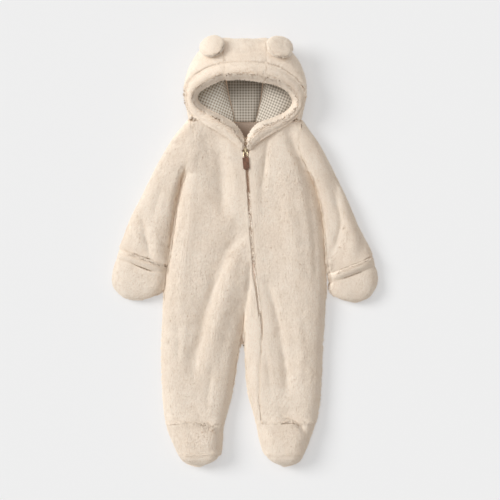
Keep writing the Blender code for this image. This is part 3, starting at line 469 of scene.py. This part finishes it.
def strand_mesh(name, places, tone, facing):
    """Strands of four points each, with a tone each and the way that each one's shading faces."""
    made = len(tone)
    strands = bpy.data.meshes.new(name)
    strands.vertices.add(made * 4)
    strands.vertices.foreach_set("co", places.astype(np.float32).ravel())
    start = np.arange(made)[:, None] * 4
    loops = start + np.array([STRAND_LOOPS])
    strands.loops.add(made * 6)
    strands.loops.foreach_set("vertex_index", loops.astype(np.int32).ravel())
    strands.polygons.add(made * 2)
    strands.polygons.foreach_set("loop_start", np.arange(0, made * 6, 3, dtype=np.int32))
    strands.update(calc_edges=True)

    along_values = strands.attributes.new("along", "FLOAT", "POINT")
    along_values.data.foreach_set("value", np.tile([0, 0.5, 0.5, 1], made).astype(np.float32))
    tone_values = strands.attributes.new("tone", "FLOAT", "POINT")
    tone_values.data.foreach_set("value", np.repeat(tone, 4).astype(np.float32))

    wide = math.ceil(math.sqrt(made))
    cells = np.stack([np.arange(made) % wide, np.arange(made) // wide], axis=1)
    inner = np.array([[0.1, 0.5], [0.5, 0.8], [0.5, 0.2], [0.9, 0.5]])
    corner_uv = (cells[:, None, :] + inner[None, STRAND_LOOPS]) / wide
    layer = strands.uv_layers.new(name="OFBake")
    layer.data.foreach_set("uv", corner_uv.astype(np.float32).ravel())

    strands.shade_smooth()
    strands.normals_split_custom_set_from_vertices(np.repeat(facing, 4, axis=0).tolist())
    fur = bpy.data.objects.new(name, strands)
    bpy.context.scene.collection.objects.link(fur)
    return fur


def pile(obj, density, length, width, seed, nap, neighbours, nap_share=0.75):
    """Curved strands on what shows of a piece. density is their number on a square millimetre."""
    mesh = obj.data
    mesh.calc_loop_triangles()
    count = len(mesh.loop_triangles)
    corners = np.empty(count * 3, np.int32)
    mesh.loop_triangles.foreach_get("vertices", corners)
    corners = corners.reshape(-1, 3)
    points = points_of(mesh)
    normals = normals_of(mesh)
    seen = point_values(mesh, "air")[corners].mean(axis=1)
    rim = point_values(mesh, "rim")[corners].mean(axis=1)
    first, second, third = (points[corners[:, i]] for i in range(3))
    area = np.linalg.norm(np.cross(second - first, third - first), axis=1) / 2
    under = (normals[corners].mean(axis=1)[:, 2] < -0.5) & (first[:, 2] < 0.012)
    weight = area * np.clip((seen - LEAST_SEEN) * 12, 0, 1) * np.where(under, UNDER_SHARE, 1.0)
    weight = weight * (1 + 1.2 * rim)
    made = int(weight.sum() * 1e6 * density)
    made = max(40, min(made, MOST_STRANDS))
    chance = np.random.default_rng(seed)
    even = (np.arange(made) + chance.random(made)) / made
    picked = np.searchsorted(np.cumsum(weight) / weight.sum(), even).clip(0, count - 1)
    u, v = chance.random((2, made, 1))
    turn = u + v > 1
    u, v = np.where(turn, 1 - u, u), np.where(turn, 1 - v, v)
    share = np.hstack([1 - u - v, u, v])
    root = (points[corners[picked]] * share[:, :, None]).sum(axis=1)
    normal = unit((normals[corners[picked]] * share[:, :, None]).sum(axis=1))
    bare = under[picked]
    rim_of = rim[picked]

    streak = root * (1, 0.55, 1)
    clump = np.stack([field(streak, 0.0075, seed_of) for seed_of in (11, 12, 13)], axis=1)
    fine = np.stack([field(streak, 0.0032, seed_of) for seed_of in (14, 15, 16)], axis=1)
    loose = chance.normal(0, LOOSE_LEAN, (made, 3))
    seamward = to_neighbours(root, rim_of, neighbours)
    combed = np.tile(nap, (made, 1)) if nap else unit((root - HOOD_HEART) * (1, 1, 0))
    seamward -= combed * (seamward * combed).sum(axis=1, keepdims=True)
    away = 1 + 1.6 * np.minimum(0, (normal * combed).sum(axis=1, keepdims=True))
    lean = combed * nap_share * np.clip(away, 0, 1) + clump * TUFT_LEAN + fine * FINE_LEAN
    lean = lean + loose + seamward
    lean -= normal * (lean * normal).sum(axis=1, keepdims=True)
    side = 1 - np.abs(normal[:, 2])
    in_groove = facing_cloth(root, normal, side)
    steep = np.clip((side - 0.08) / 0.3, 0, 1) * (1 - in_groove)
    lean[:, 2] += steep * (-np.abs(lean[:, 2]) * 0.6 - 0.7 * side - lean[:, 2])
    lean -= normal * (lean * normal).sum(axis=1, keepdims=True)
    long = length * (1 + 0.08 * field(root, 0.012, 17)) * (0.8 + 0.3 * chance.random(made))
    ragged = 0.78 + 0.3 * field(root, 0.006, 18) + np.clip(root[:, 1] / 0.16, -0.8, 0.3)
    parted = np.clip(at_zip(root) * 1.7 - 0.7, 0, 1) * np.clip(ragged, 0, 1)
    long = long * (1 - 0.5 * parted)
    lean[:, 0] += 0.9 * parted * np.sign(root[:, 0] - np.interp(root[:, 1], ZIP_Y, ZIP_X))
    if "sleeve" in obj.name or obj.name.startswith("fleece_mitten_") and "hem" not in obj.name:
        long = long * (1 - 0.6 * beside_hem(root))
    long = np.where(bare, long * 0.8, long * (1 + 0.4 * in_groove))[:, None]
    rise = (np.where(bare, 0.05, 1.0) * (1 + 0.7 * rim_of))[:, None]
    low_way = unit(normal * rise * MIDDLE_RISE + lean * 0.6)
    top_way = unit(normal * rise * TIP_RISE + lean)
    middle = root + low_way * long * 0.5
    tip = middle + top_way * long * 0.55
    across = unit(np.cross(top_way, normal) + 1e-6)
    twist = chance.normal(0, TWIST, (made, 1))
    across = unit(across * np.cos(twist) + np.cross(top_way, across) * np.sin(twist))
    half = (width * (0.7 + 0.6 * chance.random((made, 1)))) / 2
    rows = [root - normal * 0.0006, middle + across * half, middle - across * half, tip]
    places = np.stack(rows, axis=1).reshape(-1, 3)
    places[:, 2] = np.maximum(places[:, 2], 0.0002)

    tone = chance.normal(0.5, 0.17, made).clip(0, 1)
    level = np.clip(normal[:, 2:], 0, 1)
    upward = np.array([0, 0, 1]) * (0.3 + 1.4 * rim_of[:, None] * level) * (normal[:, 2:] > -0.3)
    facing = unit(normal + 0.2 * lean + upward + chance.normal(0, 0.05, (made, 3)))
    return strand_mesh("pile_" + obj.name, places, tone, facing)


# Materials

def node(tree, kind, **values):
    made = tree.nodes.new(kind)
    for key, value in values.items():
        if key in made.inputs:
            made.inputs[key].default_value = value
        else:
            setattr(made, key, value)
    return made


def ramp(tree, source, stops):
    """A colour ramp on a value, with stops of place and sRGB colour."""
    made = tree.nodes.new("ShaderNodeValToRGB")
    while len(made.color_ramp.elements) < len(stops):
        made.color_ramp.elements.new(0.5)
    for element, (place, colour) in zip(made.color_ramp.elements, stops):
        element.position = place
        element.color = (*linear(*colour), 1)
    tree.links.new(source, made.inputs["Fac"])
    return made.outputs["Color"]


def multiplied(tree, first, second, share=1.0):
    made = node(tree, "ShaderNodeMix", data_type="RGBA", blend_type="MULTIPLY")
    made.inputs[0].default_value = share
    tree.links.new(first, made.inputs[6])
    tree.links.new(second, made.inputs[7])
    return made.outputs[2]


def bumped(tree, shader, height, strength, distance):
    bump = node(tree, "ShaderNodeBump", Strength=strength, Distance=distance)
    tree.links.new(height, bump.inputs["Height"])
    tree.links.new(bump.outputs["Normal"], shader.inputs["Normal"])


def noise(tree, scale, detail=3.0, roughness=0.5):
    """Noise in the object's own metres."""
    place = tree.nodes.new("ShaderNodeTexCoord")
    made = node(tree, "ShaderNodeTexNoise", Scale=scale, Detail=detail, Roughness=roughness)
    tree.links.new(place.outputs["Object"], made.inputs["Vector"])
    return made.outputs["Fac"]


def pile_material(name, root, tip):
    """Strands whose colour is darker at the root as painted shade deep in the pile, with broad and
    strand by strand variation.
    """
    material, shader, tree = paint(name, linear(*tip), 0.9)
    along = node(tree, "ShaderNodeAttribute", attribute_name="along").outputs["Fac"]
    tone = node(tree, "ShaderNodeAttribute", attribute_name="tone").outputs["Fac"]
    # Darker towards the root: painted shade deep in the pile
    body = ramp(tree, along, [(0.0, root), (0.6, tip), (1.0, tip)])
    single = ramp(tree, tone, [(0.0, (243, 239, 235)), (0.6, (255, 255, 255)), (1.0, (255, 255, 255))])
    broad = ramp(tree, noise(tree, 22), [(0.35, (251, 249, 247)), (0.62, (255, 255, 255))])
    colour = multiplied(tree, multiplied(tree, body, single), broad)
    tree.links.new(colour, shader.inputs["Base Color"])
    shader.inputs["Specular IOR Level"].default_value = 0.15
    shader.inputs["Emission Color"].default_value = (*linear(*GLOW), 1)
    shader.inputs["Emission Strength"].default_value = GLOW_STRENGTH
    shader.inputs["Sheen Weight"].default_value = 0.25
    shader.inputs["Sheen Roughness"].default_value = 0.6
    shader.inputs["Sheen Tint"].default_value = (*linear(255, 246, 232), 1)
    return material


def backing_material(name, dark, light):
    """The fleece between its strands: short and matted, its colour darker as painted shade at the foot
    of the pile.
    """
    material, shader, tree = paint(name, linear(*light), 0.95)
    lumps = noise(tree, 420, 4, 0.65)
    tree.links.new(ramp(tree, lumps, [(0.3, dark), (0.7, light)]), shader.inputs["Base Color"])
    bumped(tree, shader, lumps, 0.6, 0.0012)
    shader.inputs["Emission Color"].default_value = (*linear(*GLOW), 1)
    shader.inputs["Emission Strength"].default_value = BACKING_GLOW
    shader.inputs["Sheen Weight"].default_value = 0.3
    shader.inputs["Sheen Roughness"].default_value = 0.6
    return material


# The pile and its backing give off a little warm light, which lifts the dark between strands
GLOW = (255, 220, 188)
GLOW_STRENGTH = 0.055
BACKING_GLOW = GLOW_STRENGTH * 2.5
# Root and tip colours of the strands; the darker root is painted shade
PILE = pile_material("fleece_pile", (246, 233, 217), (251, 240, 225))
# The backing's darker colours are painted shade at the foot of the pile
BACKING = backing_material("fleece_backing", (222, 205, 186), (240, 226, 209))


def check_material(name, light):
    """Small woven check: two sets of stripes that darken where they cross. light scales its colours, as
    painted light and shade for how much light falls on each lining.
    """
    material, shader, tree = paint(name, linear(196, 188, 175), 0.85)
    place = node(tree, "ShaderNodeUVMap", uv_map="cloth").outputs["UV"]
    parts = tree.nodes.new("ShaderNodeSeparateXYZ")
    tree.links.new(place, parts.inputs[0])
    stripes = []
    for axis in ("X", "Y"):
        turns = node(tree, "ShaderNodeMath", operation="MULTIPLY")
        turns.inputs[1].default_value = 1 / CHECK_SIZE
        tree.links.new(parts.outputs[axis], turns.inputs[0])
        wave = node(tree, "ShaderNodeMath", operation="PINGPONG")
        wave.inputs[1].default_value = 0.5
        tree.links.new(turns.outputs[0], wave.inputs[0])
        edge = node(tree, "ShaderNodeMapRange", interpolation_type="SMOOTHSTEP")
        edge.inputs["From Min"].default_value = 0.21
        edge.inputs["From Max"].default_value = 0.29
        tree.links.new(wave.outputs[0], edge.inputs["Value"])
        stripes.append(edge.outputs["Result"])
    both = node(tree, "ShaderNodeMath", operation="ADD")
    tree.links.new(stripes[0], both.inputs[0])
    tree.links.new(stripes[1], both.inputs[1])
    half = node(tree, "ShaderNodeMath", operation="MULTIPLY")
    half.inputs[1].default_value = 0.5
    tree.links.new(both.outputs[0], half.inputs[0])
    # Each lining's tones scaled lighter or darker as painted light and shade
    tones = [tuple(min(255, part * light) for part in tone) for tone in CHECK_TONES]
    check = ramp(tree, half.outputs[0], list(zip((0.0, 0.5, 1.0), tones)))
    slub = ramp(tree, noise(tree, 900, 2), [(0.3, (244, 243, 242)), (0.7, (255, 255, 255))])
    tree.links.new(multiplied(tree, check, slub), shader.inputs["Base Color"])
    bumped(tree, shader, noise(tree, 1600, 2), 0.25, 0.0003)
    return material


def plain_weave(name, colour, fine=1500):
    """Plain cotton with a fine uneven weave."""
    material, shader, tree = paint(name, linear(*colour), 0.85)
    thread = noise(tree, fine, 3, 0.6)
    darker = tuple(part * 0.86 for part in colour)
    lighter = tuple(min(255, part * 1.08) for part in colour)
    tree.links.new(ramp(tree, thread, [(0.3, darker), (0.7, lighter)]), shader.inputs["Base Color"])
    bumped(tree, shader, thread, 0.3, 0.0003)
    return material


def brass_material(name):
    """Brushed brass with dull patches."""
    material, shader, tree = paint(name, linear(206, 184, 140), 0.34)
    shader.inputs["Metallic"].default_value = 0.9
    patches = noise(tree, 700, 4, 0.6)
    tone = ramp(tree, patches, [(0.3, (196, 176, 138)), (0.65, (236, 222, 190))])
    tree.links.new(tone, shader.inputs["Base Color"])
    dull = node(tree, "ShaderNodeMapRange")
    dull.inputs["To Min"].default_value = 0.28
    dull.inputs["To Max"].default_value = 0.5
    tree.links.new(patches, dull.inputs["Value"])
    tree.links.new(dull.outputs["Result"], shader.inputs["Roughness"])
    bumped(tree, shader, noise(tree, 3000, 2), 0.15, 0.0002)
    return material


def leather_material(name):
    """Matt brown leather with pores and a rubbed, redder middle."""
    material, shader, tree = paint(name, linear(132, 94, 72), 0.6)
    pores = noise(tree, 1900, 4, 0.6)
    rub = noise(tree, 160, 3)
    base = ramp(tree, rub, [(0.35, (106, 74, 54)), (0.65, (142, 98, 74))])
    grain = ramp(tree, pores, [(0.35, (205, 200, 196)), (0.6, (255, 255, 255))])
    tree.links.new(multiplied(tree, base, grain), shader.inputs["Base Color"])
    bumped(tree, shader, pores, 0.4, 0.0003)
    return material


CHECK_SIZE = 0.0049
CHECK_TONES = ((210, 202, 190), (184, 176, 163), (142, 133, 120))

# Fleece pieces: flat width and length in metres, share of that which the cut fills, nap, strand length
# and density against the common ones

DOWN = (0.0, -1.0, 0.0)
OUTWARD = None  # away from the middle of the hood's opening
HOOD_HEART = np.array((0.0, 0.266, 0.0))
OUT_RIGHT = (-0.4, -0.9, 0.0)
OUT_LEFT = (0.4, -0.9, 0.0)
FLEECE_SHEETS = {
    "front_right": (0.215, 0.56, 0.68, DOWN, 1.0, 1.0),
    "front_left": (0.165, 0.56, 0.68, DOWN, 1.0, 1.0),
    "back": (0.31, 0.60, 0.79, DOWN, 1.0, 0.42),
    "sleeve_right": (0.21, 0.24, 0.69, OUT_RIGHT, 1.0, 1.0),
    "sleeve_left": (0.20, 0.24, 0.67, OUT_LEFT, 1.0, 1.0),
    "mitten_hem_right": (0.085, 0.04, 0.90, OUT_RIGHT, 0.62, 2.0),
    "mitten_hem_left": (0.08, 0.04, 0.87, OUT_LEFT, 0.62, 2.0),
    "mitten_right": (0.16, 0.09, 0.80, OUT_RIGHT, 0.85, 1.0),
    "mitten_left": (0.13, 0.09, 0.76, OUT_LEFT, 0.85, 1.0),
    "foot_upper_right": (0.11, 0.08, 0.79, DOWN, 0.95, 1.0),
    "foot_upper_left": (0.11, 0.08, 0.78, DOWN, 0.95, 1.0),
    "sole_right": (0.09, 0.055, 0.85, DOWN, 0.85, 1.0),
    "sole_left": (0.09, 0.055, 0.78, DOWN, 0.85, 1.0),
    "hood_right": (0.14, 0.15, 0.77, OUTWARD, 1.0, 0.85),
    "hood_left": (0.14, 0.15, 0.81, OUTWARD, 1.0, 0.85),
    "hood_centre": (0.08, 0.225, 0.94, OUTWARD, 1.0, 0.95),
    "hood_band_right": (0.045, 0.165, 0.92, OUTWARD, 1.0, 1.0),
    "hood_band_left": (0.045, 0.165, 0.88, OUTWARD, 1.0, 1.0),
    "hood_band_centre": (0.075, 0.045, 0.84, OUTWARD, 1.0, 1.0),
}
LESS_DETAIL = ("back",)
INSET = 0.002
EAR_INSET = 0.003
EAR_STRAND = 0.8
EAR_DENSE = 1.7
EAR_NAP = 0.3
STRAND = 0.006
STRAND_WIDTH = 0.002
DENSITY = 0.8
# Pile leaves the mittens' rolled hems showing
CUFFS = ("mitten_hem_right", "mitten_hem_left", "mitten_right", "mitten_left")
KEPT_APART = {
    "sleeve": CUFFS,
    "mitten": (*CUFFS, "sleeve_right", "sleeve_left"),
}


def dress(piece, fur, name):
    """Puts a shell and its pile in the solid's place on the suit."""
    piece.data.materials.clear()
    piece.data.materials.append(BACKING)
    fur.data.materials.append(PILE)
    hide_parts(name)
    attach(piece, "suit")
    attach(fur, "suit")


def fleece_pieces():
    for index, (name, values) in enumerate(FLEECE_SHEETS.items()):
        width, length, share, nap, strand, dense = values
        apart = KEPT_APART.get(name.split("_")[0], ())
        neighbours = others(name, apart)
        piece = shell("fleece_" + name, name, 1 if name in LESS_DETAIL else 2)
        soften(piece, 0.0 if "hem" in name else INSET, neighbours=neighbours)
        fur = pile(
            piece, DENSITY * dense, STRAND * strand, STRAND_WIDTH, 100 + index, nap, neighbours
        )
        dress(piece, fur, name)


def ears():
    for index, name in enumerate(("ear_right", "ear_left")):
        piece = shell("padded_" + name, name, 2, sharp=179)
        soften(piece, EAR_INSET)
        dense = DENSITY * EAR_DENSE
        strand = STRAND * EAR_STRAND
        fur = pile(
            piece, dense, strand, STRAND_WIDTH, 200 + index, OUTWARD, others(name), nap_share=EAR_NAP
        )
        dress(piece, fur, name)


def cloth_map(obj, turn):
    """Lays the weave's own flat map on a thin piece, in metres, turned by degrees."""
    mesh = obj.data
    bpy.ops.object.select_all(action="DESELECT")
    obj.select_set(True)
    bpy.context.view_layer.objects.active = obj
    layer = mesh.uv_layers.new(name="cloth")
    mesh.uv_layers.active = layer
    bpy.ops.object.mode_set(mode="EDIT")
    bpy.ops.mesh.select_all(action="SELECT")
    bpy.ops.uv.unwrap(method="ANGLE_BASED", margin=0.02)
    bpy.ops.object.mode_set(mode="OBJECT")
    mesh = obj.data
    layer = mesh.uv_layers["cloth"]
    flat = np.empty(len(mesh.loops) * 2, np.float32)
    layer.data.foreach_get("uv", flat)
    flat = flat.reshape(-1, 2).astype(float)
    owners = np.empty(len(mesh.loops), np.int32)
    mesh.loops.foreach_get("vertex_index", owners)
    points = points_of(mesh)[owners]
    up = np.array([polygon.normal.z > 0.15 for polygon in mesh.polygons for _ in polygon.loop_indices])
    start = flat[up].mean(axis=0)
    way, *_ = np.linalg.lstsq(np.c_[points[up][:, :2], np.ones(up.sum())], flat[up], rcond=None)
    angle = math.atan2(way[1, 0], way[1, 1])
    mesh.calc_loop_triangles()
    real = 0.0
    drawn = 0.0
    for triangle in mesh.loop_triangles:
        real += triangle.area
        one, two, three = (flat[i] for i in triangle.loops)
        drawn += abs(float(np.cross(two - one, three - one))) / 2
    size = math.sqrt(real / drawn)
    turned = angle + math.radians(turn)
    rotation = np.array([[math.cos(turned), math.sin(turned)], [-math.sin(turned), math.cos(turned)]])
    flat = (flat - start) @ rotation * size
    if turn == 0:
        flat = points[:, :2]
    layer.data.foreach_set("uv", flat.astype(np.float32).ravel())


FACING = plain_weave("taupe_cotton", (176, 157, 141))
TAPE = plain_weave("zip_tape_weave", (196, 160, 138), 2200)
TEETH = plain_weave("zip_teeth_resin", (226, 184, 162), 3000)
BRASS = brass_material("brushed_brass")
LEATHER = leather_material("brown_leather_grain")
# Linings: flat width and length in metres, share that the cut fills, turn of its check, and a
# lightness for each, which is painted light and shade: each lining's check is lighter or darker by how
# much light falls there
LININGS = {
    "lining_right": (0.115, 0.085, 0.76, 38, 1.3),
    "lining_left": (0.115, 0.085, 0.78, -34, 1.12),
    "lining_centre": (0.075, 0.17, 0.98, 0, 0.99),
}


def linings():
    for name, (width, length, share, turn, light) in LININGS.items():
        piece = shell("check_" + name, name, 2)
        soften(piece, 0.0, lumps=0.0)
        piece.data.materials.clear()
        piece.data.materials.append(check_material("gingham_" + name, light))
        cloth_map(piece, turn)
        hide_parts(name)
        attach(piece, "suit")


def kept_nodes():
    for name, material in (
        ("neck_facing", FACING),
        ("zip_tape_right", TAPE),
        ("zip_tape_left", TAPE),
        ("zip_slider", BRASS),
        ("pull_bail", BRASS),
        ("pull_tab", LEATHER),
    ):
        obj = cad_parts[name]
        obj.data.materials.clear()
        obj.data.materials.append(material)


TOOTH_PITCH = 0.0017
TOOTH_ASIDE = 0.0009
TEETH_SINK = 0.0024  # at the zip's low end
TEETH_START = 0.001
TEETH_STOP = 0.006
# Rings of a tooth: height, half length and half thickness
TOOTH_RINGS = ((0.0, 0.0017, 0.00072), (0.0034, 0.0015, 0.00072), (0.0039, 0.001, 0.0005))


def zip_teeth():
    """Small moulded teeth, left and right in turn, along the tapes' meeting line."""
    teeth = bmesh.new()
    top = ZIP_Y[-1] - TEETH_STOP
    count = int((top - ZIP_Y[0]) / TOOTH_PITCH)
    for index in range(count):
        y = ZIP_Y[0] + TEETH_START + index * TOOTH_PITCH
        x = np.interp(y, ZIP_Y, ZIP_X)
        ahead = np.interp(y + TOOTH_PITCH, ZIP_Y, ZIP_X)
        z = np.interp(y, ZIP_Y, ZIP_Z) - TEETH_SINK * (1 - min(1, (y - ZIP_Y[0]) / ZIP_CLOSING))
        side = 1 if index % 2 else -1
        along = Vector((ahead - x, TOOTH_PITCH, 0)).normalized()
        across = Vector((along.y, -along.x, 0))
        middle = Vector((x, y, z)) + across * (side * TOOTH_ASIDE)
        corners = []
        for up, half, thin in TOOTH_RINGS:
            for sx, sy in ((-1, -1), (1, -1), (1, 1), (-1, 1)):
                place = middle + across * (sx * half) + along * (sy * thin)
                corners.append(teeth.verts.new(place + Vector((0, 0, up))))
        for ring in (0, 4):
            under = corners[ring : ring + 4]
            over = corners[ring + 4 : ring + 8]
            for k in range(4):
                nxt = (k + 1) % 4
                teeth.faces.new((under[k], under[nxt], over[nxt], over[k]))
        teeth.faces.new(corners[8:12])
        teeth.faces.new(corners[3::-1])
    mesh = bpy.data.meshes.new("zip_teeth")
    teeth.to_mesh(mesh)
    teeth.free()
    obj = bpy.data.objects.new("zip_teeth", mesh)
    bpy.context.scene.collection.objects.link(obj)
    mesh.materials.append(TEETH)
    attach(obj, "suit")


fleece_pieces()
ears()
linings()
zip_teeth()
kept_nodes()
